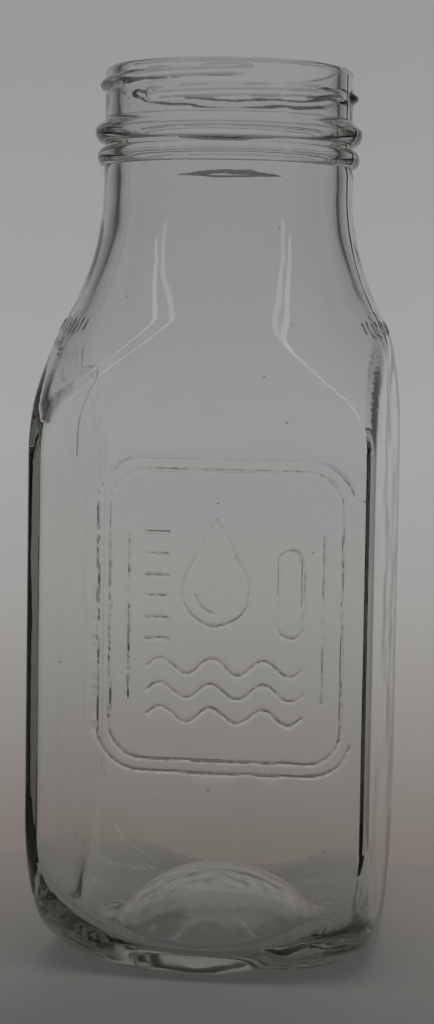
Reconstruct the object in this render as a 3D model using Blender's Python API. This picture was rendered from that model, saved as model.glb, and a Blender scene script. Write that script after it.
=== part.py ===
"""A glass milk bottle of about 600 ml: one moulded body of clear glass, open at the mouth.

The outside is a turned shape (heel, shoulder, neck, two beads, screw finish) cut by four flat
sides. The inside is the same idea, thinner by the wall. The thread is a single right-handed
ridge of six turns to the inch. Units are metres, +Z is up, and the bottle stands on z = 0.
"""

import math

import bmesh
import bpy

MM = 0.001

# Driving dimensions.
HEIGHT = 191.0 * MM
FLAT_DISTANCE = 36.2 * MM        # from the axis to each flat side
CORNER_REACH = 50.2 * MM         # from the axis to the rounded corners between the flats
CORNER_SOFTNESS = 2.6 * MM       # how far the edge between a flat and the turned shape is rounded

# Base.
BEARING_INNER = 27.4 * MM        # the flat ring that the bottle stands on
BEARING_OUTER = 30.2 * MM
PUSH_UP_RADIUS = 22.8 * MM       # the domed hollow under the base
PUSH_UP_EDGE = 1.4 * MM          # height of the dome's edge
PUSH_UP_HEIGHT = 12.8 * MM       # height of its middle
DOME_POWER = 2.5                 # 2 is a parabola, more is flatter in the middle
BEARING_ROUND = 1.5 * MM         # reach of the curve between the dome's edge and the bearing ring
HEEL_HEIGHT = 32.0 * MM
HEEL_POWER = 1.65                # 2 is an ellipse, less is leaner

# Shoulder and neck.
SHOULDER_BOTTOM = 107.5 * MM     # where the body ends and the shoulder starts
SHOULDER_RADIUS = 24.5 * MM      # of the round where the shoulder leaves the body
SHOULDER_TURN = math.radians(38.5)
SHOULDER_REACH = 12.0 * MM       # how far the shoulder runs on in a straight line, as a handle
NECK_RADIUS = 27.1 * MM
NECK_BOTTOM = 165.2 * MM
NECK_REACH = 20.4 * MM

# Beads under the thread: where each is widest, how wide there, and its half height.
LOWER_BEAD = {"height": 171.8 * MM, "radius": 28.35 * MM, "half": 2.0 * MM}
UPPER_BEAD = {"height": 177.4 * MM, "radius": 28.9 * MM, "half": 2.8 * MM}
UPPER_BEAD_SLOPE = 2.7 * MM      # the long upper side of the upper bead
BEAD_HANDLE = 0.4                # curve handles, as a share of the slope's height

# Screw finish.
FINISH_RADIUS = 26.8 * MM
THREAD_PITCH = 25.4 * MM / 6
THREAD_PROUD = 1.15 * MM
THREAD_HALF_WIDTH = 1.2 * MM
THREAD_FULLNESS = 0.8            # below 1 the crown of the ridge is flatter
THREAD_START_ANGLE = math.radians(-122.5)
THREAD_START_HEIGHT = 183.4 * MM
THREAD_SWEEP = math.radians(414.5)
THREAD_END_TAPER = math.radians(12.0)
PARTING_ANGLE = math.radians(-12.0)  # where the mould's halves met, here and opposite
PARTING_FADE = math.radians(14.0)    # the ridge dies out this near the parting line
LIP_OUTER_ROUND = 1.5 * MM
LIP_INNER_ROUND = 0.8 * MM
LIP_LAND = 1.0 * MM              # the flat sealing ring on top

# Inside.
BORE_RADIUS = FINISH_RADIUS - LIP_OUTER_ROUND - LIP_LAND - LIP_INNER_ROUND
INNER_NECK_RADIUS = 23.4 * MM
NECK_TOP_INSIDE = 171.2 * MM     # above this the bore is straight
SIDE_WALL = 2.1 * MM
INNER_CORNER_REACH = 48.0 * MM
INNER_SOFTNESS = 2.5 * MM
INNER_HEEL_HEIGHT = 30.0 * MM
INNER_FLOOR = 4.4 * MM           # height of the floor round the dome
INNER_FLOOR_RADIUS = 29.0 * MM
INNER_DOME_RADIUS = 23.4 * MM
INNER_DOME_RISE = 12.4 * MM

# Mesh density: how many straight steps make up each curve.
DOME_STEPS = 7
SLOPE_STEPS = 4
HEEL_STEPS = 10
SHOULDER_STEPS = 7
FLARE_STEPS = 12
LOWER_BEAD_STEPS = 8
UPPER_BEAD_STEPS = 5
LIP_OUTER_STEPS = 4
LIP_INNER_STEPS = 3
RING_POINTS = 48
CORNER_CROWDING = 0.55           # 0 spaces the points evenly, 1 puts them all on the corners
THREAD_RING_STEP = 0.6 * MM


def arc(centre, radii, start, end, steps):
    """Points along an elliptical arc, given as (radius, height) pairs."""
    points = []
    for step in range(steps + 1):
        angle = start + (end - start) * step / steps
        radius = centre[0] + radii[0] * math.cos(angle)
        height = centre[1] + radii[1] * math.sin(angle)
        points.append((radius, height))
    return points


def bezier(first, handle_one, handle_two, last, steps):
    """Points along a cubic Bezier curve."""
    points = []
    for step in range(steps + 1):
        t = step / steps
        s = 1.0 - t
        weights = (s ** 3, 3 * s * s * t, 3 * s * t * t, t ** 3)
        corners = (first, handle_one, handle_two, last)
        radius = sum(w * c[0] for w, c in zip(weights, corners))
        height = sum(w * c[1] for w, c in zip(weights, corners))
        points.append((radius, height))
    return points


def evenly(first, last, steps):
    """Points along a straight line, without its first point."""
    points = []
    for step in range(1, steps + 1):
        t = step / steps
        radius = first[0] + (last[0] - first[0]) * t
        height = first[1] + (last[1] - first[1]) * t
        points.append((radius, height))
    return points


def shoulder(body_radius, neck_radius):
    """The turned outline from the top of the body to the bottom of the neck."""
    centre = CORNER_REACH - SHOULDER_RADIUS
    radii = (body_radius - centre, body_radius - centre)
    round_part = arc((centre, SHOULDER_BOTTOM), radii, 0.0, SHOULDER_TURN, SHOULDER_STEPS)
    top = round_part[-1]
    onward = (
        top[0] - SHOULDER_REACH * math.sin(SHOULDER_TURN),
        top[1] + SHOULDER_REACH * math.cos(SHOULDER_TURN),
    )
    below_neck = (neck_radius, NECK_BOTTOM - NECK_REACH)
    flare = bezier(top, onward, below_neck, (neck_radius, NECK_BOTTOM), FLARE_STEPS)
    return round_part + flare[1:]


def dome(radius, edge_height, rise):
    """Points on a flat-topped dome, from its edge to near its middle."""
    points = []
    for step in range(DOME_STEPS, 0, -1):
        share = math.sin(math.radians(90) * step / DOME_STEPS)
        points.append((radius * share, edge_height + rise * (1.0 - share ** DOME_POWER)))
    return points


def underside():
    """The domed hollow and the slope from its edge down to the bearing ring."""
    hollow = dome(PUSH_UP_RADIUS, PUSH_UP_EDGE, PUSH_UP_HEIGHT - PUSH_UP_EDGE)
    slope = bezier(
        (PUSH_UP_RADIUS, PUSH_UP_EDGE),
        (PUSH_UP_RADIUS + BEARING_ROUND, PUSH_UP_EDGE - BEARING_ROUND / 2),
        (BEARING_INNER - BEARING_ROUND, BEARING_ROUND / 4),
        (BEARING_INNER, 0.0),
        SLOPE_STEPS,
    )
    return hollow[:0:-1] + slope


def heel(low, high):
    """A quarter of a superellipse, from the point low up to the point high."""
    points = []
    for step in range(HEEL_STEPS + 1):
        angle = math.radians(90) * step / HEEL_STEPS
        out = math.sin(angle) ** (2 / HEEL_POWER)
        up = 1.0 - math.cos(angle) ** (2 / HEEL_POWER)
        points.append((low[0] + (high[0] - low[0]) * out, low[1] + (high[1] - low[1]) * up))
    return points


def lower_bead():
    centre = (FINISH_RADIUS, LOWER_BEAD["height"])
    reach = (LOWER_BEAD["radius"] - FINISH_RADIUS, LOWER_BEAD["half"])
    return arc(centre, reach, math.radians(-90), math.radians(90), LOWER_BEAD_STEPS)


def upper_bead():
    """Round below, with a long easy slope above."""
    centre = (FINISH_RADIUS, UPPER_BEAD["height"])
    reach = (UPPER_BEAD["radius"] - FINISH_RADIUS, UPPER_BEAD["half"])
    below = arc(centre, reach, math.radians(-90), 0.0, UPPER_BEAD_STEPS)
    crest = below[-1]
    foot = (FINISH_RADIUS, crest[1] + UPPER_BEAD_SLOPE)
    reach = UPPER_BEAD_SLOPE * BEAD_HANDLE
    leaving = (crest[0], crest[1] + reach)
    arriving = (foot[0], foot[1] - reach)
    above = bezier(crest, leaving, arriving, foot, UPPER_BEAD_STEPS)
    return below + above[1:]


def lip():
    """The rounded rim with its flat sealing ring, from the outside over to the bore."""
    outer_centre = (FINISH_RADIUS - LIP_OUTER_ROUND, HEIGHT - LIP_OUTER_ROUND)
    outer_radii = (LIP_OUTER_ROUND, LIP_OUTER_ROUND)
    outer = arc(outer_centre, outer_radii, 0.0, math.radians(90), LIP_OUTER_STEPS)
    inner_centre = (BORE_RADIUS + LIP_INNER_ROUND, HEIGHT - LIP_INNER_ROUND)
    inner_radii = (LIP_INNER_ROUND, LIP_INNER_ROUND)
    inner = arc(inner_centre, inner_radii, math.radians(90), math.radians(180), LIP_INNER_STEPS)
    return outer + inner


def outer_outline():
    """The outside as (radius, height) pairs, from the middle of the base up to the rim."""
    points = underside()
    points += heel((BEARING_OUTER, 0.0), (CORNER_REACH, HEEL_HEIGHT))
    points += shoulder(CORNER_REACH, NECK_RADIUS)
    points += lower_bead()
    points += upper_bead()
    thread_bottom = points[-1]
    thread_top = (FINISH_RADIUS, HEIGHT - LIP_OUTER_ROUND)
    rings = round((thread_top[1] - thread_bottom[1]) / THREAD_RING_STEP)
    points += evenly(thread_bottom, thread_top, rings)[:-1]
    points += lip()
    return points


def inner_outline():
    """The inside as (radius, height) pairs, from the bore down to the middle of the floor."""
    points = [(BORE_RADIUS, NECK_TOP_INSIDE)]
    points += shoulder(INNER_CORNER_REACH, INNER_NECK_RADIUS)[::-1]
    floor_edge = (INNER_FLOOR_RADIUS, INNER_FLOOR)
    points += heel(floor_edge, (INNER_CORNER_REACH, INNER_HEEL_HEIGHT))[::-1]
    return points + dome(INNER_DOME_RADIUS, INNER_FLOOR, INNER_DOME_RISE)


def soft_minimum(one, two, softness):
    """The smaller of two lengths, with the corner between them rounded off."""
    overlap = max(softness - abs(one - two), 0.0) / softness
    return min(one, two) - overlap * overlap * softness / 4.0


def smooth_step(share):
    share = min(max(share, 0.0), 1.0)
    return share * share * (3.0 - 2.0 * share)


def thread_ridge(angle, height):
    """How far the thread stands out of the finish at this place."""
    from_parting = abs(math.remainder(angle - PARTING_ANGLE, math.pi))
    fade = smooth_step(from_parting / PARTING_FADE)
    proud = 0.0
    for turn in range(3):
        run = (angle - THREAD_START_ANGLE) % math.tau + turn * math.tau
        if run > THREAD_SWEEP:
            continue
        middle = THREAD_START_HEIGHT + THREAD_PITCH * run / math.tau
        across = abs(height - middle) / THREAD_HALF_WIDTH
        if across >= 1.0:
            continue
        ends = min(run, THREAD_SWEEP - run) / THREAD_END_TAPER
        crown = math.cos(across * math.pi / 2) ** THREAD_FULLNESS
        proud = max(proud, THREAD_PROUD * crown * smooth_step(ends) * fade)
    return proud


def ring_angles():
    """Angles round the bottle, closer together at the corners."""
    angles = []
    for index in range(RING_POINTS):
        even = math.tau * index / RING_POINTS
        angles.append(even + CORNER_CROWDING * math.sin(4 * even) / 4)
    return angles


def side_reach(angle, flat_distance):
    """How far the four sides lie from the axis in this direction."""
    return flat_distance / max(abs(math.cos(angle)), abs(math.sin(angle)))


def outer_reach(angle, radius, height):
    """How far the outside lies from the axis in this direction."""
    reach = soft_minimum(radius, side_reach(angle, FLAT_DISTANCE), CORNER_SOFTNESS)
    if height > UPPER_BEAD["height"]:
        reach += thread_ridge(angle, height)
    return reach


def inner_reach(angle, radius, height):
    """How far the inside lies from the axis in this direction."""
    return soft_minimum(radius, side_reach(angle, FLAT_DISTANCE - SIDE_WALL), INNER_SOFTNESS)


def add_ring(mesh, point, reach_at):
    """One ring of vertices at an outline point, with the reach given for each direction."""
    radius, height = point
    ring = []
    for angle in ring_angles():
        reach = reach_at(angle, radius, height)
        vertex = mesh.verts.new((reach * math.cos(angle), reach * math.sin(angle), height))
        ring.append(vertex)
    return ring


def bridge(mesh, first, second):
    """Quads between two rings, first ring below or inside the second."""
    for index in range(RING_POINTS):
        after = (index + 1) % RING_POINTS
        mesh.faces.new((first[index], first[after], second[after], second[index]))


def make_bottle_mesh():
    mesh = bmesh.new()
    rings = [add_ring(mesh, point, outer_reach) for point in outer_outline()]
    rings += [add_ring(mesh, point, inner_reach) for point in inner_outline()]
    for first, second in zip(rings, rings[1:]):
        bridge(mesh, first, second)
    mesh.faces.new(reversed(rings[0]))
    mesh.faces.new(rings[-1])
    bmesh.ops.triangulate(mesh, faces=mesh.faces)
    bmesh.ops.recalc_face_normals(mesh, faces=mesh.faces)
    return mesh


def make_glass():
    material = bpy.data.materials.new("clear_glass")
    material.use_nodes = True
    shader = material.node_tree.nodes["Principled BSDF"]
    shader.inputs["Base Color"].default_value = (0.90, 0.93, 0.90, 1.0)
    shader.inputs["Roughness"].default_value = 0.03
    shader.inputs["Metallic"].default_value = 0.0
    shader.inputs["IOR"].default_value = 1.52
    shader.inputs["Transmission Weight"].default_value = 1.0
    return material


def make_bottle():
    data = bpy.data.meshes.new("glass_bottle")
    mesh = make_bottle_mesh()
    mesh.to_mesh(data)
    mesh.free()
    data.shade_smooth()
    data.set_sharp_from_angle(angle=math.radians(35))
    data.materials.append(make_glass())
    bottle = bpy.data.objects.new("glass_bottle", data)
    bpy.context.scene.collection.objects.link(bottle)
    return bottle


def clear_scene():
    for item in list(bpy.data.objects):
        bpy.data.objects.remove(item, do_unlink=True)


clear_scene()
make_bottle()
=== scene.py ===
"""The looks of the glass milk bottle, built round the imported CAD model.

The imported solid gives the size. This script repeats its outline with a much finer mesh, adds what
moulded glass really has (relief on one side, marks on the shoulder, mould seams, a pebbled base
with a knurled bearing ring, walls that are never quite even), and sets up the glass, the plain
stage and the camera.
Units are metres, +Z is up, and the bottle stands on z = 0.
"""

import math

import bmesh
import bpy
import numpy as np
from mathutils import Matrix, Vector, noise


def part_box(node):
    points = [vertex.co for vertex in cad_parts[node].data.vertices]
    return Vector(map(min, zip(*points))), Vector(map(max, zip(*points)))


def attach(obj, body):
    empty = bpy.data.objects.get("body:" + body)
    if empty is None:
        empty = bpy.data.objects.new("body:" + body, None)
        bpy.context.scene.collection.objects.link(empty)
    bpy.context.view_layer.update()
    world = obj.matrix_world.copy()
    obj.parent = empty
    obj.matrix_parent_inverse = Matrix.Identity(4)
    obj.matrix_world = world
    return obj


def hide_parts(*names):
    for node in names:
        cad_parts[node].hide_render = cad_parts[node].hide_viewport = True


MM = 0.001
NODE = "glass_bottle"

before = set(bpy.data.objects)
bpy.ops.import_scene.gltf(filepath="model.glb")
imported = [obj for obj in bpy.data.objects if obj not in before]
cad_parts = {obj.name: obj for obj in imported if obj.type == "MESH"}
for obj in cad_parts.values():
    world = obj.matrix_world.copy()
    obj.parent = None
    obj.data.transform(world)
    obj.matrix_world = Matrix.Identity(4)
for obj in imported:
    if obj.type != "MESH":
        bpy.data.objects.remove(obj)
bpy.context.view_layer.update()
high_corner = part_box(NODE)[1]

# Sizes from the frame.
HEIGHT = high_corner.z
FLAT_DISTANCE = high_corner.x    # from the axis to each flat side

# The CAD outline's other dimensions, repeated.
CORNER_REACH = 50.2 * MM
CORNER_SOFTNESS = 2.6 * MM
BEARING_INNER = 27.4 * MM
BEARING_OUTER = 30.2 * MM
PUSH_UP_RADIUS = 22.8 * MM
PUSH_UP_EDGE = 1.4 * MM
PUSH_UP_HEIGHT = 12.8 * MM
DOME_POWER = 2.5
BEARING_ROUND = 1.5 * MM
HEEL_HEIGHT = 32.0 * MM
HEEL_POWER = 1.65
SHOULDER_BOTTOM = 107.5 * MM
SHOULDER_RADIUS = 24.5 * MM
SHOULDER_TURN = math.radians(38.5)
SHOULDER_REACH = 12.0 * MM
NECK_RADIUS = 27.1 * MM
NECK_BOTTOM = 165.2 * MM
NECK_REACH = 20.4 * MM
LOWER_BEAD = {"height": 171.8 * MM, "radius": 28.35 * MM, "half": 2.0 * MM}
UPPER_BEAD = {"height": 177.4 * MM, "radius": 28.9 * MM, "half": 2.8 * MM}
UPPER_BEAD_SLOPE = 2.7 * MM
BEAD_HANDLE = 0.4
FINISH_RADIUS = 26.8 * MM
THREAD_PITCH = 25.4 * MM / 6
THREAD_PROUD = 1.15 * MM
THREAD_HALF_WIDTH = 1.2 * MM
THREAD_FULLNESS = 0.8
THREAD_START_ANGLE = math.radians(-122.5)
THREAD_START_HEIGHT = 183.4 * MM
THREAD_SWEEP = math.radians(414.5)
THREAD_END_TAPER = math.radians(12.0)
PARTING_ANGLE = math.radians(-12.0)
PARTING_FADE = math.radians(14.0)
LIP_OUTER_ROUND = 1.5 * MM
LIP_INNER_ROUND = 0.8 * MM
LIP_LAND = 1.0 * MM
BORE_RADIUS = FINISH_RADIUS - LIP_OUTER_ROUND - LIP_LAND - LIP_INNER_ROUND
INNER_NECK_RADIUS = 23.4 * MM
NECK_TOP_INSIDE = 171.2 * MM
SIDE_WALL = 2.1 * MM
INNER_SHIFT = 0.6 * MM           # the inside sits this far towards +X, as blown glass often does
INNER_CORNER_REACH = 48.0 * MM
INNER_SOFTNESS = 2.5 * MM
INNER_HEEL_HEIGHT = 30.0 * MM
INNER_FLOOR = 4.4 * MM
INNER_FLOOR_RADIUS = 29.0 * MM
INNER_DOME_RADIUS = 23.4 * MM
INNER_DOME_RISE = 12.4 * MM

# Steps along each round stretch of the outline.
DOME_STEPS = 26
SLOPE_STEPS = 10
HEEL_STEPS = 30
SHOULDER_STEPS = 12
FLARE_STEPS = 30
LOWER_BEAD_STEPS = 16
UPPER_BEAD_STEPS = 12
LIP_OUTER_STEPS = 10
LIP_INNER_STEPS = 8
INNER_DOME_STEPS = 20

# Mesh density.
OUTER_COLUMNS = 176
INNER_COLUMNS = 96
CORNER_CROWDING = 0.35
RING_STEP = 1.6 * MM             # between rings on plain stretches
THREAD_RING_STEP = 0.33 * MM
BEARING_STEP = 0.7 * MM
RELIEF_CUTS = 4                  # extra cuts per cell where the glass carries relief
SEAM_CUTS = 2                    # and along the mould seams
SHARP_ANGLE = math.radians(40)

# Moulded relief on the side that faces -Y: a drop over waves in a double border.
RELIEF_CENTRE = (6.3 * MM, 76.5 * MM)        # across, up
RELIEF_HALF = (26.7 * MM, 32.5 * MM)
RELIEF_PROUD = 0.80 * MM
RELIEF_HALF_WIDTH = 0.54 * MM
RELIEF_DEPTH = 0.1 * MM          # how far behind the side a point may lie and still carry relief
LINE_WANDER = 0.30 * MM          # how far the lines stray sideways
WANDER_LENGTH = 5.0 * MM
WORN_LENGTH = 9.0 * MM           # from a well filled stretch of line to a worn one
GRAIN_LENGTH = 0.9 * MM

# The device's own sizes, measured from the middle of the relief.
BORDER_CORNER = 10.0 * MM
BORDER_INSETS = (0.0, 2.6 * MM)
DROP_CENTRE = (-2.0 * MM, 5.0 * MM)
DROP_RADIUS = 7.0 * MM
DROP_TIP = 15.0 * MM
GLINT_RADIUS = 4.4 * MM
GLINT_ANGLES = (math.radians(190), math.radians(260))
WAVE_LINES = (-10.5 * MM, -15.5 * MM, -20.5 * MM)
WAVE_HALF = 16.0 * MM
WAVE_HEIGHT = 1.5 * MM
WAVES_PER_LINE = 3
SIDE_BAR_ACROSS = 20.2 * MM
SIDE_BAR_HALF = 17.0 * MM
RUNGS = 6
RUNG_ENDS = (-16.5 * MM, -12.0 * MM)
RUNG_TOP = 17.0 * MM
RUNG_PITCH = 4.4 * MM
OVAL_CENTRE = (13.4 * MM, 5.0 * MM)
OVAL_HALF = (2.5 * MM, 9.0 * MM)
OVAL_CORNER = 2.4 * MM
CORNER_STEPS = 12
DROP_STEPS = 36
GLINT_STEPS = 8
WAVE_STEPS = 60

# Two groups of marks round the shoulder.
MARK_HEIGHT = 135.8 * MM
MARK_LENGTH = 2.6 * MM
MARK_PITCH = math.radians(3.4)
MARKS_PER_GROUP = 9
MARK_GROUPS = (math.radians(-151.0), math.radians(-13.0))    # the middle of each group
MARK_PROUD = 0.16 * MM
MARK_HALF_WIDTH = 0.45 * MM

# Mould seams, knurling, pebbled and dulled base, and unevenness.
SEAM_PROUD = 0.14 * MM
SEAM_HALF_WIDTH = 0.35 * MM
SEAM_FIELD = math.radians(2.0)   # the finer mesh on each side of a seam
KNURLS = 48
KNURL_DEPTH = 0.25 * MM
LEVEL_WITH_FLOOR = 0.01 * MM
STIPPLE = {"height": 0.14 * MM, "length": 2.4 * MM, "clear": 1.5 * MM, "top": 13.0 * MM}
FROST_ROUGHNESS = 0.20
INNER_WAVE = {"height": 0.05 * MM, "length": 20.0 * MM}
OUTER_WAVE = {"height": 0.025 * MM, "length": 12.0 * MM}
SHOULDER_WAVE = 3.5              # how much stronger the unevenness is above the body
FINE_WAVE = {"length": 0.37, "height": 0.35}     # a second, finer wave as shares of the first
CALM_BASE = (4.0 * MM, 10.0 * MM)                # no unevenness below, all of it above
CALM_RIM = 10.0 * MM                             # it fades out over this stretch below the rim

# Glass.
GLASS_IOR = 1.5
GLASS_TINT = (0.55, 0.60, 0.53, 1.0)
GLASS_DENSITY = 40.0             # per metre
SEED_CELLS = 110.0               # per metre
SEED_RAMP = (                    # distance from a seed's middle in cells, colour
    (0.020, (0.25, 0.25, 0.25)),
    (0.034, (1.0, 1.0, 1.0)),
)
RUBBED_CELLS = 60.0
RUBBED_RAMP = (                  # cloud value, roughness as a grey
    (0.52, (0.0, 0.0, 0.0)),
    (0.75, (0.10, 0.10, 0.10)),
)
RIPPLE_CELLS = 420.0
RIPPLE_DEPTH = 0.02 * MM
RIPPLE_STRENGTH = 0.25
LIGHT_BOUNCES = 32               # light is reflected many times inside a glass wall

# Camera, measured from the bottle's axis.
CAMERA_TURN = math.radians(8.7)
CAMERA_DISTANCE = 510.0 * MM
CAMERA_HEIGHT = 135.0 * MM
CAMERA_SIDESTEP = -1.3 * MM
CAMERA_PITCH = 0.078
CAMERA_ROLL = 0.0157
CAMERA_LENS = 82.0
CAMERA_SENSOR = 36.0

# Stage.
WALL_DISTANCE = 77.8 * MM
WALL_TURN = math.radians(-4.24)
FLOOR_DROP = 0.2 * MM
FLOOR_REACH = 2.0
WALL_HALF = 0.25
WALL_HEIGHT = 0.32
FLOOR_GRADE = 0.08               # the floor's painted shade runs this far on each side of the bottle

# Grades over a length in metres, from low to high: painted shade on the backdrop and the floor.
# Painted shade: the backdrop warmer and darker towards the floor, darker towards its top, lightest
# between.
BACKDROP_PAINTED_SHADE_UP = (
    (0.000, (0.36, 0.31, 0.28)),
    (0.044, (0.53, 0.51, 0.48)),
    (0.067, (0.61, 0.595, 0.58)),
    (0.107, (0.64, 0.64, 0.64)),
    (0.200, (0.50, 0.50, 0.50)),
    (0.228, (0.48, 0.48, 0.48)),
    (0.290, (0.15, 0.15, 0.15)),
)
# Painted shade: the backdrop darker towards its ends.
BACKDROP_PAINTED_SHADE_ACROSS = (
    (-0.120, (0.15, 0.15, 0.15)),
    (-0.062, (1.0, 1.0, 1.0)),
    (0.062, (1.0, 1.0, 1.0)),
    (0.120, (0.15, 0.15, 0.15)),
)
# Painted shade: the floor darker towards the camera, lighter towards the backdrop.
FLOOR_PAINTED_SHADE_ALONG = (
    (-0.070, (0.13, 0.125, 0.12)),
    (0.070, (0.26, 0.25, 0.24)),
)

# Lights, in metres and watts.
WASH = {"place": (0.0, -0.9, 0.75), "target": (0.0, 0.08, 0.10), "size": (1.6, 0.8), "power": 11.0}
SHADING = {"place": (0.0, -0.3, 0.9), "target": (0.0, 0.0, 0.0), "size": (0.5, 0.5), "power": 3.0}
STRIP_TURNS = (math.radians(-66), math.radians(57))
STRIP_DISTANCE = 0.6
STRIP_HEIGHT = 0.75
STRIP_TARGET = (0.0, 0.0, 0.15)
STRIP_SIZE = (0.05, 0.75)
STRIP_POWER = 0.20
WORLD_STRENGTH = 0.10


# ---------------------------------------------------------------- outline

def arc(centre, radii, start, end, steps):
    """Points along an elliptical arc, given as (radius, height) pairs."""
    points = []
    for step in range(steps + 1):
        angle = start + (end - start) * step / steps
        radius = centre[0] + radii[0] * math.cos(angle)
        height = centre[1] + radii[1] * math.sin(angle)
        points.append((radius, height))
    return points


def bezier(first, handle_one, handle_two, last, steps):
    """Points along a cubic Bezier curve."""
    points = []
    for step in range(steps + 1):
        t = step / steps
        s = 1.0 - t
        weights = (s ** 3, 3 * s * s * t, 3 * s * t * t, t ** 3)
        corners = (first, handle_one, handle_two, last)
        radius = sum(w * c[0] for w, c in zip(weights, corners))
        height = sum(w * c[1] for w, c in zip(weights, corners))
        points.append((radius, height))
    return points


def straight(first, last, step_length):
    """Points along a straight line, without its first and last point."""
    steps = max(1, round(math.dist(first, last) / step_length))
    points = []
    for step in range(1, steps):
        t = step / steps
        points.append((first[0] + (last[0] - first[0]) * t, first[1] + (last[1] - first[1]) * t))
    return points


def shoulder(body_radius, neck_radius):
    """The turned outline from the top of the body to the bottom of the neck."""
    centre = CORNER_REACH - SHOULDER_RADIUS
    radii = (body_radius - centre, body_radius - centre)
    round_part = arc((centre, SHOULDER_BOTTOM), radii, 0.0, SHOULDER_TURN, SHOULDER_STEPS)
    top = round_part[-1]
    onward = (
        top[0] - SHOULDER_REACH * math.sin(SHOULDER_TURN),
        top[1] + SHOULDER_REACH * math.cos(SHOULDER_TURN),
    )
    below_neck = (neck_radius, NECK_BOTTOM - NECK_REACH)
    flare = bezier(top, onward, below_neck, (neck_radius, NECK_BOTTOM), FLARE_STEPS)
    return round_part + flare[1:]


def dome(radius, edge_height, rise, steps):
    """Points on a flat-topped dome, from its edge to near its middle."""
    shares = [math.sin(math.radians(90) * step / steps) for step in range(steps, 0, -1)]
    return [(radius * share, edge_height + rise * (1.0 - share ** DOME_POWER)) for share in shares]


def underside():
    """The domed hollow and the slope from its edge down to the bearing ring."""
    hollow = dome(PUSH_UP_RADIUS, PUSH_UP_EDGE, PUSH_UP_HEIGHT - PUSH_UP_EDGE, DOME_STEPS)
    slope = bezier(
        (PUSH_UP_RADIUS, PUSH_UP_EDGE),
        (PUSH_UP_RADIUS + BEARING_ROUND, PUSH_UP_EDGE - BEARING_ROUND / 2),
        (BEARING_INNER - BEARING_ROUND, BEARING_ROUND / 4),
        (BEARING_INNER, 0.0),
        SLOPE_STEPS,
    )
    return hollow[:0:-1] + slope


def heel(low, high, steps):
    """A quarter of a superellipse, from the point low up to the point high."""
    points = []
    for step in range(steps + 1):
        angle = math.radians(90) * step / steps
        out = math.sin(angle) ** (2 / HEEL_POWER)
        up = 1.0 - math.cos(angle) ** (2 / HEEL_POWER)
        points.append((low[0] + (high[0] - low[0]) * out, low[1] + (high[1] - low[1]) * up))
    return points


def lower_bead():
    """Half an ellipse that stands out of the finish."""
    centre = (FINISH_RADIUS, LOWER_BEAD["height"])
    reach = (LOWER_BEAD["radius"] - FINISH_RADIUS, LOWER_BEAD["half"])
    return arc(centre, reach, math.radians(-90), math.radians(90), LOWER_BEAD_STEPS)


def upper_bead():
    """Round below, with a long easy slope above."""
    centre = (FINISH_RADIUS, UPPER_BEAD["height"])
    reach = (UPPER_BEAD["radius"] - FINISH_RADIUS, UPPER_BEAD["half"])
    below = arc(centre, reach, math.radians(-90), 0.0, UPPER_BEAD_STEPS)
    crest = below[-1]
    foot = (FINISH_RADIUS, crest[1] + UPPER_BEAD_SLOPE)
    handle = UPPER_BEAD_SLOPE * BEAD_HANDLE
    over_crest = (crest[0], crest[1] + handle)
    under_foot = (foot[0], foot[1] - handle)
    above = bezier(crest, over_crest, under_foot, foot, UPPER_BEAD_STEPS)
    return below + above[1:]


def lip():
    """The rounded rim with its flat sealing ring, from the outside over to the bore."""
    quarter = math.radians(90)
    outer_centre = (FINISH_RADIUS - LIP_OUTER_ROUND, HEIGHT - LIP_OUTER_ROUND)
    outer = arc(outer_centre, (LIP_OUTER_ROUND, LIP_OUTER_ROUND), 0.0, quarter, LIP_OUTER_STEPS)
    inner_centre = (BORE_RADIUS + LIP_INNER_ROUND, HEIGHT - LIP_INNER_ROUND)
    inner_radii = (LIP_INNER_ROUND, LIP_INNER_ROUND)
    inner = arc(inner_centre, inner_radii, quarter, 2 * quarter, LIP_INNER_STEPS)
    return outer + inner


def outer_outline():
    """The outside as (radius, height) pairs, from the middle of the base up over the rim."""
    points = underside()
    points += straight((BEARING_INNER, 0.0), (BEARING_OUTER, 0.0), BEARING_STEP)
    points += heel((BEARING_OUTER, 0.0), (CORNER_REACH, HEEL_HEIGHT), HEEL_STEPS)
    points += straight((CORNER_REACH, HEEL_HEIGHT), (CORNER_REACH, SHOULDER_BOTTOM), RING_STEP)
    points += shoulder(CORNER_REACH, NECK_RADIUS)
    neck_top = LOWER_BEAD["height"] - LOWER_BEAD["half"]
    points += straight((NECK_RADIUS, NECK_BOTTOM), (NECK_RADIUS, neck_top), RING_STEP)
    points += lower_bead()
    points += upper_bead()
    thread_top = (FINISH_RADIUS, HEIGHT - LIP_OUTER_ROUND)
    points += straight(points[-1], thread_top, THREAD_RING_STEP)
    points += lip()
    return points


def inner_outline():
    """The inside as (radius, height) pairs, from the bore down to the middle of the floor."""
    bore_top = (BORE_RADIUS, HEIGHT - LIP_INNER_ROUND)
    points = straight(bore_top, (BORE_RADIUS, NECK_TOP_INSIDE), RING_STEP)
    down = shoulder(INNER_CORNER_REACH, INNER_NECK_RADIUS)
    points += down[::-1]
    points += straight(down[0], (INNER_CORNER_REACH, INNER_HEEL_HEIGHT), RING_STEP)
    floor_edge = (INNER_FLOOR_RADIUS, INNER_FLOOR)
    points += heel(floor_edge, (INNER_CORNER_REACH, INNER_HEEL_HEIGHT), HEEL_STEPS)[::-1]
    return points + dome(INNER_DOME_RADIUS, INNER_FLOOR, INNER_DOME_RISE, INNER_DOME_STEPS)


# ---------------------------------------------------------------- reach from the axis

def soft_minimum(one, two, softness):
    """The smaller of two lengths, with the corner between them rounded off."""
    overlap = max(softness - abs(one - two), 0.0) / softness
    return min(one, two) - overlap * overlap * softness / 4.0


def smooth_step(share):
    """0 below 0, 1 above 1, and an S-curve between."""
    share = min(max(share, 0.0), 1.0)
    return share * share * (3.0 - 2.0 * share)


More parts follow.
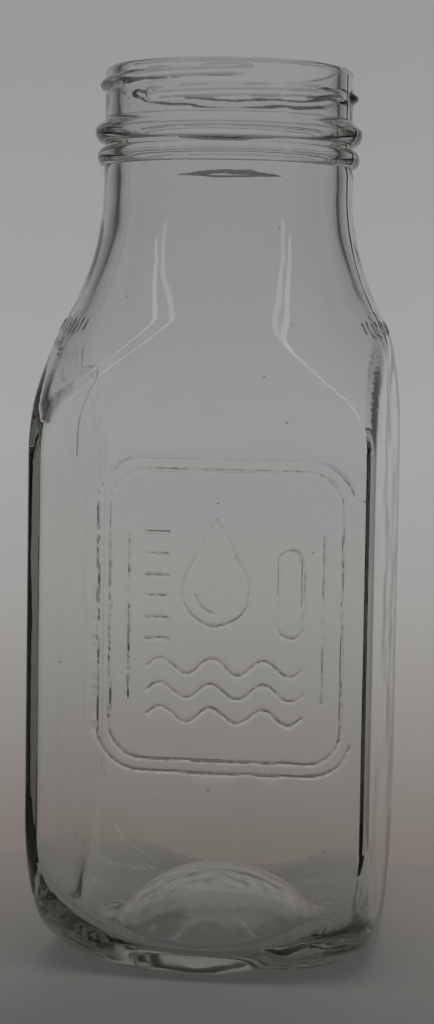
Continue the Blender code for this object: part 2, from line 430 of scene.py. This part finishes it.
def thread_ridge(angle, height):
    """How far the thread stands out of the finish at this place."""
    from_parting = abs(math.remainder(angle - PARTING_ANGLE, math.pi))
    fade = smooth_step(from_parting / PARTING_FADE)
    proud = 0.0
    for turn in range(3):
        run = (angle - THREAD_START_ANGLE) % math.tau + turn * math.tau
        if run > THREAD_SWEEP:
            continue
        middle = THREAD_START_HEIGHT + THREAD_PITCH * run / math.tau
        across = abs(height - middle) / THREAD_HALF_WIDTH
        if across >= 1.0:
            continue
        ends = min(run, THREAD_SWEEP - run) / THREAD_END_TAPER
        crown = math.cos(across * math.pi / 2) ** THREAD_FULLNESS
        proud = max(proud, THREAD_PROUD * crown * smooth_step(ends) * fade)
    return proud


def side_reach(angle, flat_distance):
    """How far the four sides lie from the axis in this direction."""
    return flat_distance / max(abs(math.cos(angle)), abs(math.sin(angle)))


def outer_reach(angle, radius, height):
    """How far the outside lies from the axis in this direction."""
    reach = soft_minimum(radius, side_reach(angle, FLAT_DISTANCE), CORNER_SOFTNESS)
    if height > UPPER_BEAD["height"]:
        reach += thread_ridge(angle, height)
    return reach


def inner_reach(angle, radius, height):
    """How far the inside lies from its own axis in this direction."""
    return soft_minimum(radius, side_reach(angle, FLAT_DISTANCE - SIDE_WALL), INNER_SOFTNESS)


# ---------------------------------------------------------------- mesh

def ring_angles(columns):
    """Angles round the bottle, closer together at the corners."""
    angles = []
    for index in range(columns):
        even = math.tau * index / columns
        angles.append(even + CORNER_CROWDING * math.sin(4 * even) / 4)
    return angles


def add_rings(mesh, outline, columns, reach_at):
    """Adds a tube of quads along an outline, open at both ends."""
    rings = []
    for radius, height in outline:
        ring = []
        for angle in ring_angles(columns):
            reach = reach_at(angle, radius, height)
            ring.append(mesh.verts.new((reach * math.cos(angle), reach * math.sin(angle), height)))
        rings.append(ring)
    for first, second in zip(rings, rings[1:]):
        for index in range(columns):
            after = (index + 1) % columns
            mesh.faces.new((first[index], first[after], second[after], second[index]))


def join_at_rim(mesh):
    """Joins the upper open ends of the outside and the inside."""
    ends = [edge for edge in mesh.edges if edge.is_boundary and edge.verts[0].co.z > HEIGHT / 2]
    bmesh.ops.bridge_loops(mesh, edges=ends)


def refine(mesh, wanted, cuts):
    """Cuts the outside's cells finer where wanted(middle of the cell) is true."""
    edges = set()
    for face in mesh.faces:
        if wanted(face.calc_center_median()):
            edges.update(face.edges)
    bmesh.ops.subdivide_edges(mesh, edges=list(edges), cuts=cuts, use_grid_fill=True)


def on_relief(place):
    """Whether a place on the outside belongs to the field that carries the relief."""
    across = abs(place.x - RELIEF_CENTRE[0]) < RELIEF_HALF[0] + RELIEF_HALF_WIDTH
    up = abs(place.z - RELIEF_CENTRE[1]) < RELIEF_HALF[1] + RELIEF_HALF_WIDTH
    return across and up and place.y < -FLAT_DISTANCE + RELIEF_DEPTH


def on_marks(place):
    """Whether a place on the outside belongs to one of the two groups of marks."""
    angle = math.atan2(place.y, place.x)
    reach = MARK_PITCH * (MARKS_PER_GROUP + 1) / 2
    near = min(abs(math.remainder(angle - middle, math.tau)) for middle in MARK_GROUPS)
    return near < reach and abs(place.z - MARK_HEIGHT) < MARK_LENGTH


def on_seam(place):
    """A narrow upright strip at each end of the parting line, from the shoulder to the rim."""
    angle = math.atan2(place.y, place.x)
    near = abs(math.remainder(angle - PARTING_ANGLE, math.pi))
    return near < SEAM_FIELD and SHOULDER_BOTTOM < place.z < HEIGHT - LIP_OUTER_ROUND


def snap_to_outside(mesh):
    """Puts the extra points of the finer cells exactly on the turned outside."""
    outline = [point for point in outer_outline() if point[1] >= HEEL_HEIGHT]
    rising = [outline[0]]
    for point in outline[1:]:
        if point[1] > rising[-1][1]:
            rising.append(point)
    heights = [point[1] for point in rising]
    radii = [point[0] for point in rising]
    for vertex in mesh.verts:
        place = vertex.co
        if SHOULDER_BOTTOM < place.z < HEIGHT - LIP_OUTER_ROUND:
            angle = math.atan2(place.y, place.x)
            reach = outer_reach(angle, float(np.interp(place.z, heights, radii)), place.z)
            vertex.co = (reach * math.cos(angle), reach * math.sin(angle), place.z)


# ---------------------------------------------------------------- relief

def rounded_box(half_across, half_up, corner):
    """The outline of a box with round corners, as a closed list of (across, up) points."""
    points = []
    for turn, (side_x, side_y) in enumerate(((1, 1), (-1, 1), (-1, -1), (1, -1))):
        centre = (side_x * (half_across - corner), side_y * (half_up - corner))
        start = math.radians(90) * turn
        points += arc(centre, (corner, corner), start, start + math.radians(90), CORNER_STEPS)
    return points + points[:1]


def drop(radius, tip):
    """A drop with its round end down, centred on the round."""
    lean = math.acos(radius / tip)
    start = math.radians(90) + lean
    end = math.radians(450) - lean
    return [(0.0, tip)] + arc((0.0, 0.0), (radius, radius), start, end, DROP_STEPS) + [(0.0, tip)]


def wave(up):
    """A wavy line at this height."""
    points = []
    for step in range(WAVE_STEPS + 1):
        share = step / WAVE_STEPS
        across = WAVE_HALF * (2 * share - 1)
        points.append((across, up + WAVE_HEIGHT * math.sin(math.tau * WAVES_PER_LINE * share)))
    return points


def shifted(points, centre):
    """The same points, measured from a centre instead of from zero."""
    return [(x + centre[0], y + centre[1]) for x, y in points]


def relief_strokes():
    """The raised lines, in the side's plane, measured from the middle of the relief."""
    half_across, half_up = RELIEF_HALF
    strokes = []
    for inset in BORDER_INSETS:
        strokes.append(rounded_box(half_across - inset, half_up - inset, BORDER_CORNER - inset))
    strokes.append(shifted(drop(DROP_RADIUS, DROP_TIP), DROP_CENTRE))
    strokes.append(arc(DROP_CENTRE, (GLINT_RADIUS, GLINT_RADIUS), *GLINT_ANGLES, GLINT_STEPS))
    for up in WAVE_LINES:
        strokes.append(wave(up))
    for across in (-SIDE_BAR_ACROSS, SIDE_BAR_ACROSS):
        strokes.append([(across, -SIDE_BAR_HALF), (across, SIDE_BAR_HALF)])
    for index in range(RUNGS):
        up = RUNG_TOP - RUNG_PITCH * index
        strokes.append([(across, up) for across in RUNG_ENDS])
    strokes.append(shifted(rounded_box(*OVAL_HALF, OVAL_CORNER), OVAL_CENTRE))
    return strokes


def stroke_distance(points, strokes):
    """Each point's distance to the nearest stroke."""
    nearest = np.full(len(points), 1.0)
    for stroke in strokes:
        for first, second in zip(stroke, stroke[1:]):
            start = np.array(first)
            along = np.array(second) - start
            length = max(float(along @ along), 1e-12)
            share = np.clip((points - start) @ along / length, 0.0, 1.0)
            gap = points - start - share[:, None] * along
            nearest = np.minimum(nearest, np.hypot(gap[:, 0], gap[:, 1]))
    return nearest


def ridge(distance, half_width):
    """1 on the middle line of a ridge, falling smoothly to 0 at its edges."""
    share = np.clip(1.0 - distance / half_width, 0.0, 1.0)
    return share * share * (3.0 - 2.0 * share)


def waver(place, length, shift):
    """Smooth noise between -1 and 1 that changes over a length. Each shift has its own pattern."""
    return noise.noise(Vector(place) / length + Vector((shift, 0.0, 0.0)))


def relief_strength(place):
    """How well the mould filled the lines here, from 0.1 to 1."""
    strength = 0.7 + 0.6 * waver(place, WORN_LENGTH, 31.0) + 0.5 * waver(place, GRAIN_LENGTH, 43.0)
    return min(max(strength, 0.1), 1.0)


def raise_relief(mesh):
    """Lifts the moulded device off its side, with lines that waver as old moulds make them."""
    found = [vertex for vertex in mesh.verts if on_relief(vertex.co)]
    flat = []
    for vertex in found:
        across = vertex.co.x - RELIEF_CENTRE[0] + LINE_WANDER * waver(vertex.co, WANDER_LENGTH, 7.0)
        up = vertex.co.z - RELIEF_CENTRE[1] + LINE_WANDER * waver(vertex.co, WANDER_LENGTH, 19.0)
        flat.append((across, up))
    lifted = ridge(stroke_distance(np.array(flat), relief_strokes()), RELIEF_HALF_WIDTH)
    for vertex, share in zip(found, lifted):
        vertex.co.y -= RELIEF_PROUD * float(share) * relief_strength(vertex.co)


def pushed_out(place, push):
    """The place moved level, straight away from the axis."""
    reach = max(math.hypot(place.x, place.y), 1.0 * MM)
    return Vector((place.x * (1 + push / reach), place.y * (1 + push / reach), place.z))


def raise_marks(mesh):
    """Two groups of short upright bars on the shoulder."""
    for vertex in [vertex for vertex in mesh.verts if on_marks(vertex.co)]:
        place = vertex.co
        angle = math.atan2(place.y, place.x)
        reach = math.hypot(place.x, place.y)
        for middle in MARK_GROUPS:
            turn = math.remainder(angle - middle, math.tau)
            index = round(turn / MARK_PITCH)
            if abs(index) > MARKS_PER_GROUP // 2:
                continue
            sideways = abs(turn - index * MARK_PITCH) * reach
            half_length = MARK_LENGTH / (2 if index % 2 else 3)
            past_end = max(abs(place.z - MARK_HEIGHT) - half_length, 0.0)
            lift = MARK_PROUD * float(ridge(math.hypot(sideways, past_end), MARK_HALF_WIDTH))
            vertex.co = pushed_out(place, lift)


def raise_seams(mesh):
    """The fine upright ridges where the mould halves met."""
    for vertex in [vertex for vertex in mesh.verts if on_seam(vertex.co)]:
        place = vertex.co
        reach = math.hypot(place.x, place.y)
        turn = math.remainder(math.atan2(place.y, place.x) - PARTING_ANGLE, math.pi)
        lift = SEAM_PROUD * float(ridge(abs(turn) * reach, SEAM_HALF_WIDTH))
        vertex.co = pushed_out(place, lift)


def knurl(mesh):
    """Cuts shallow radial grooves in the bearing ring."""
    for vertex in mesh.verts:
        reach = math.hypot(vertex.co.x, vertex.co.y)
        if vertex.co.z < LEVEL_WITH_FLOOR and BEARING_INNER < reach < BEARING_OUTER:
            angle = math.atan2(vertex.co.y, vertex.co.x)
            vertex.co.z = KNURL_DEPTH * max(math.cos(KNURLS * angle), 0.0)


def stipple(mesh):
    """The pebbled skin of the heel and the hollow, which stops short of the bearing ring."""
    mesh.normal_update()
    for vertex in mesh.verts:
        place = vertex.co
        if place.z > STIPPLE["top"]:
            continue
        fade = smooth_step(place.z / STIPPLE["clear"])
        if math.hypot(place.x, place.y) > BEARING_OUTER:
            fade *= 1.0 - smooth_step(place.z / STIPPLE["top"])
        vertex.co += vertex.normal * STIPPLE["height"] * fade * waver(place, STIPPLE["length"], 61.0)


def frost_underside(mesh):
    """Marks the hollow and the bearing ring, which the mould and many shelves have left dull."""
    frost = mesh.verts.layers.float["frost"]
    for vertex in mesh.verts:
        under = math.hypot(vertex.co.x, vertex.co.y) < BEARING_OUTER
        if under and vertex.co.z < STIPPLE["top"]:
            vertex[frost] = 1.0


def unsettle(vertices, wave_size, shift):
    """Moves a surface in and out a little, as blown glass does, but not at base and rim."""
    calm, lively = CALM_BASE
    for vertex in vertices:
        place = vertex.co
        fade = smooth_step((place.z - calm) / (lively - calm))
        fade *= smooth_step((HEIGHT - place.z) / CALM_RIM)
        above_body = smooth_step((place.z - SHOULDER_BOTTOM) / SHOULDER_REACH)
        strength = 1.0 + (SHOULDER_WAVE - 1.0) * above_body
        broad = waver(place, wave_size["length"], shift)
        fine = waver(place, wave_size["length"] * FINE_WAVE["length"], shift + 50.0)
        push = wave_size["height"] * fade * strength * (broad + FINE_WAVE["height"] * fine)
        vertex.co = pushed_out(place, push)


def shift_body(vertices):
    """Moves the inside of the body sideways, and leaves the neck where it is."""
    for vertex in vertices:
        below_neck = (NECK_BOTTOM - vertex.co.z) / (NECK_BOTTOM - SHOULDER_BOTTOM)
        vertex.co.x += INNER_SHIFT * smooth_step(below_neck)


def make_bottle_mesh():
    """The outside with its relief, the inside, the rim between them and the two middles."""
    mesh = bmesh.new()
    mesh.verts.layers.float.new("frost")
    add_rings(mesh, outer_outline(), OUTER_COLUMNS, outer_reach)
    refine(mesh, on_relief, RELIEF_CUTS)
    refine(mesh, on_marks, RELIEF_CUTS)
    refine(mesh, on_seam, SEAM_CUTS)
    snap_to_outside(mesh)
    raise_relief(mesh)
    raise_marks(mesh)
    raise_seams(mesh)
    knurl(mesh)
    stipple(mesh)
    frost_underside(mesh)
    outside = list(mesh.verts)
    unsettle(outside, OUTER_WAVE, 3.0)
    add_rings(mesh, inner_outline(), INNER_COLUMNS, inner_reach)
    inside = set(mesh.verts) - set(outside)
    shift_body(inside)
    unsettle(inside, INNER_WAVE, 90.0)
    join_at_rim(mesh)
    bmesh.ops.holes_fill(mesh, edges=mesh.edges)
    bmesh.ops.triangulate(mesh, faces=mesh.faces)
    bmesh.ops.recalc_face_normals(mesh, faces=mesh.faces)
    return mesh


def make_bottle():
    """The finished bottle, which stands for the CAD node."""
    data = bpy.data.meshes.new("bottle_glass")
    mesh = make_bottle_mesh()
    mesh.to_mesh(data)
    mesh.free()
    data.shade_smooth()
    data.set_sharp_from_angle(angle=SHARP_ANGLE)
    data.materials.append(make_glass())
    bottle = bpy.data.objects.new("bottle_glass", data)
    bpy.context.scene.collection.objects.link(bottle)
    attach(bottle, "root")
    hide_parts(NODE)
    return bottle


# ---------------------------------------------------------------- materials

def new_material(name):
    """A material with nodes, and its nodes and links."""
    material = bpy.data.materials.new(name)
    material.use_nodes = True
    return material, material.node_tree.nodes, material.node_tree.links


def make_glass():
    """Clear container glass: a faint grey-green tint, a fine ripple, dull patches and seeds."""
    material, nodes, links = new_material("clear_glass")
    shader = nodes["Principled BSDF"]
    shader.inputs["IOR"].default_value = GLASS_IOR
    shader.inputs["Transmission Weight"].default_value = 1.0
    place = nodes.new("ShaderNodeTexCoord").outputs["Object"]
    links.new(add_seeds(nodes, links, place), shader.inputs["Base Color"])
    dullness = add_frost(nodes, links, add_rubbing(nodes, links, place))
    links.new(dullness, shader.inputs["Roughness"])
    links.new(add_ripple(nodes, links, place), shader.inputs["Normal"])
    absorption = nodes.new("ShaderNodeVolumeAbsorption")
    absorption.inputs["Color"].default_value = GLASS_TINT
    absorption.inputs["Density"].default_value = GLASS_DENSITY
    links.new(absorption.outputs["Volume"], nodes["Material Output"].inputs["Volume"])
    return material


def add_ramp(nodes, links, value, stops):
    """A colour ramp, from (position, colour) pairs."""
    ramp = nodes.new("ShaderNodeValToRGB")
    links.new(value, ramp.inputs["Fac"])
    elements = ramp.color_ramp.elements
    while len(elements) < len(stops):
        elements.new(0.5)
    for element, (position, colour) in zip(elements, stops):
        element.position = position
        element.color = (*colour, 1.0)
    return ramp.outputs["Color"]


def add_noise(nodes, links, place, scale, detail):
    """Smooth noise, with this many cells to the metre."""
    texture = nodes.new("ShaderNodeTexNoise")
    texture.inputs["Scale"].default_value = scale
    texture.inputs["Detail"].default_value = detail
    links.new(place, texture.inputs["Vector"])
    return texture.outputs["Fac"]


def add_seeds(nodes, links, place):
    """Clear glass with tiny dark seeds, about one to a cell."""
    cells = nodes.new("ShaderNodeTexVoronoi")
    cells.inputs["Scale"].default_value = SEED_CELLS
    links.new(place, cells.inputs["Vector"])
    return add_ramp(nodes, links, cells.outputs["Distance"], SEED_RAMP)


def add_rubbing(nodes, links, place):
    """Mostly polished, a little duller in cloudy patches where crates have rubbed it."""
    cloud = add_noise(nodes, links, place, RUBBED_CELLS, 4.0)
    return add_ramp(nodes, links, cloud, RUBBED_RAMP)


def add_frost(nodes, links, rubbing):
    """Duller where the mesh carries a frost value."""
    frost = nodes.new("ShaderNodeAttribute")
    frost.attribute_name = "frost"
    total = nodes.new("ShaderNodeMath")
    total.operation = "MULTIPLY_ADD"
    total.inputs[1].default_value = FROST_ROUGHNESS
    links.new(frost.outputs["Fac"], total.inputs[0])
    links.new(rubbing, total.inputs[2])
    return total.outputs["Value"]


def add_ripple(nodes, links, place):
    """The faint unevenness that a mould leaves in the skin of the glass."""
    bump = nodes.new("ShaderNodeBump")
    bump.inputs["Strength"].default_value = RIPPLE_STRENGTH
    bump.inputs["Distance"].default_value = RIPPLE_DEPTH
    links.new(add_noise(nodes, links, place, RIPPLE_CELLS, 3.0), bump.inputs["Height"])
    return bump.outputs["Normal"]


def add_grade(nodes, links, value, low, high, stops):
    """A colour ramp over a length, from (length, colour) pairs."""
    share = nodes.new("ShaderNodeMapRange")
    share.inputs["From Min"].default_value = low
    share.inputs["From Max"].default_value = high
    links.new(value, share.inputs["Value"])
    shares = [((length - low) / (high - low), colour) for length, colour in stops]
    return add_ramp(nodes, links, share.outputs["Result"], shares)


def make_backdrop_material():
    """A backdrop with painted shade, warmer and darker towards the floor and the ends, clear from
    behind.
    """
    material, nodes, links = new_material("backdrop")
    shader = nodes["Principled BSDF"]
    shader.inputs["Roughness"].default_value = 0.9
    place = nodes.new("ShaderNodeTexCoord")
    split = nodes.new("ShaderNodeSeparateXYZ")
    links.new(place.outputs["Object"], split.inputs["Vector"])
    up = add_grade(nodes, links, split.outputs["Z"], 0.0, WALL_HEIGHT, BACKDROP_PAINTED_SHADE_UP)
    out = add_grade(nodes, links, split.outputs["X"], -WALL_HALF, WALL_HALF, BACKDROP_PAINTED_SHADE_ACROSS)
    # Painted shade: the two grades multiplied into the backdrop's colour.
    painted_shade = nodes.new("ShaderNodeMix")
    painted_shade.data_type = "RGBA"
    painted_shade.blend_type = "MULTIPLY"
    painted_shade.inputs["Factor"].default_value = 1.0
    links.new(up, painted_shade.inputs["A"])
    links.new(out, painted_shade.inputs["B"])
    links.new(painted_shade.outputs["Result"], shader.inputs["Base Color"])
    side = nodes.new("ShaderNodeNewGeometry")
    clear = nodes.new("ShaderNodeBsdfTransparent")
    mix = nodes.new("ShaderNodeMixShader")
    links.new(side.outputs["Backfacing"], mix.inputs["Fac"])
    links.new(shader.outputs["BSDF"], mix.inputs[1])
    links.new(clear.outputs["BSDF"], mix.inputs[2])
    links.new(mix.outputs["Shader"], nodes["Material Output"].inputs["Surface"])
    return material


def make_floor_material():
    """A pale floor with painted shade, darker towards the camera."""
    material, nodes, links = new_material("floor")
    shader = nodes["Principled BSDF"]
    shader.inputs["Roughness"].default_value = 0.5
    place = nodes.new("ShaderNodeTexCoord")
    split = nodes.new("ShaderNodeSeparateXYZ")
    links.new(place.outputs["Object"], split.inputs["Vector"])
    # Painted shade: the floor's colour grades darker towards the camera.
    colour = add_grade(nodes, links, split.outputs["Y"], -FLOOR_GRADE, FLOOR_GRADE, FLOOR_PAINTED_SHADE_ALONG)
    links.new(colour, shader.inputs["Base Color"])
    return material


# ---------------------------------------------------------------- stage, light, camera

def add_plane(name, corners, material):
    """A flat piece of the stage."""
    data = bpy.data.meshes.new(name)
    data.from_pydata(corners, [], [tuple(range(len(corners)))])
    data.materials.append(material)
    plane = bpy.data.objects.new(name, data)
    bpy.context.scene.collection.objects.link(plane)
    return plane


def make_stage():
    """The floor, and the backdrop that stands on it behind the bottle."""
    floor_corners = [
        (-FLOOR_REACH, -FLOOR_REACH, 0),
        (FLOOR_REACH, -FLOOR_REACH, 0),
        (FLOOR_REACH, FLOOR_REACH, 0),
        (-FLOOR_REACH, FLOOR_REACH, 0),
    ]
    floor = add_plane("floor", floor_corners, make_floor_material())
    floor.location.z = -FLOOR_DROP
    wall_corners = [
        (-WALL_HALF, 0, 0),
        (WALL_HALF, 0, 0),
        (WALL_HALF, 0, WALL_HEIGHT),
        (-WALL_HALF, 0, WALL_HEIGHT),
    ]
    wall = add_plane("backdrop", wall_corners, make_backdrop_material())
    turned = Matrix.Rotation(CAMERA_TURN, 4, "Z") @ Matrix.Translation((0, WALL_DISTANCE, -FLOOR_DROP))
    wall.matrix_world = turned @ Matrix.Rotation(WALL_TURN, 4, "Z")
    return floor, wall


def add_area_light(name, place, target, size, power):
    """A rectangular light that the camera doesn't see, placed in the camera's turned frame."""
    data = bpy.data.lights.new(name, "AREA")
    data.shape = "RECTANGLE"
    data.size, data.size_y = size
    data.energy = power
    light = bpy.data.objects.new(name, data)
    bpy.context.scene.collection.objects.link(light)
    spin = Matrix.Rotation(CAMERA_TURN, 4, "Z")
    light.location = spin @ Vector(place)
    aim = (spin @ Vector(target)) - light.location
    light.rotation_mode = "QUATERNION"
    light.rotation_quaternion = aim.to_track_quat("-Z", "Y")
    light.visible_camera = False
    return light


def group_of(name, pieces):
    """A collection of these pieces, for linking a light to them."""
    group = bpy.data.collections.new(name)
    for piece in pieces:
        group.objects.link(piece)
    return group


def keep_to_stage(light, lit, blockers):
    """Lights only these stage pieces, and never shows as a reflection in the glass."""
    light.light_linking.receiver_collection = group_of(light.name + "_lit", lit)
    light.light_linking.blocker_collection = group_of(light.name + "_blockers", blockers)
    light.visible_glossy = False
    light.visible_transmission = False


def make_lights(bottle, floor, wall):
    """An even wash on floor and backdrop, a second one that the bottle shades, and two strips."""
    wash = add_area_light("wash", **WASH)
    keep_to_stage(wash, (floor, wall), (floor, wall))
    shading = add_area_light("shading", **SHADING)
    keep_to_stage(shading, (floor,), (floor, wall, bottle))
    for turn in STRIP_TURNS:
        place = (STRIP_DISTANCE * math.sin(turn), -STRIP_DISTANCE * math.cos(turn), STRIP_HEIGHT)
        add_area_light("strip", place, STRIP_TARGET, STRIP_SIZE, STRIP_POWER)


def make_world():
    """A weak, even light from all round."""
    world = bpy.data.worlds.new("world")
    world.use_nodes = True
    background = world.node_tree.nodes["Background"]
    background.inputs["Color"].default_value = (1.0, 1.0, 1.0, 1.0)
    background.inputs["Strength"].default_value = WORLD_STRENGTH
    bpy.context.scene.world = world


def make_camera():
    """The camera looks slightly down at the relief side, from a little to its right."""
    data = bpy.data.cameras.new("camera")
    data.lens = CAMERA_LENS
    data.sensor_width = CAMERA_SENSOR
    camera = bpy.data.objects.new("camera", data)
    bpy.context.scene.collection.objects.link(camera)
    spin = Matrix.Rotation(CAMERA_TURN, 4, "Z")
    place = Matrix.Translation((CAMERA_SIDESTEP, -CAMERA_DISTANCE, CAMERA_HEIGHT))
    tilt = Matrix.Rotation(math.radians(90) - CAMERA_PITCH, 4, "X")
    roll = Matrix.Rotation(CAMERA_ROLL, 4, "Z")
    camera.matrix_world = spin @ place @ tilt @ roll
    bpy.context.scene.camera = camera


bottle = make_bottle()
floor, wall = make_stage()
make_lights(bottle, floor, wall)
make_world()
make_camera()
bpy.context.scene.cycles.max_bounces = LIGHT_BOUNCES
bpy.context.scene.cycles.glossy_bounces = LIGHT_BOUNCES
bpy.context.scene.cycles.transmission_bounces = LIGHT_BOUNCES
bpy.context.scene.view_settings.view_transform = "Standard"
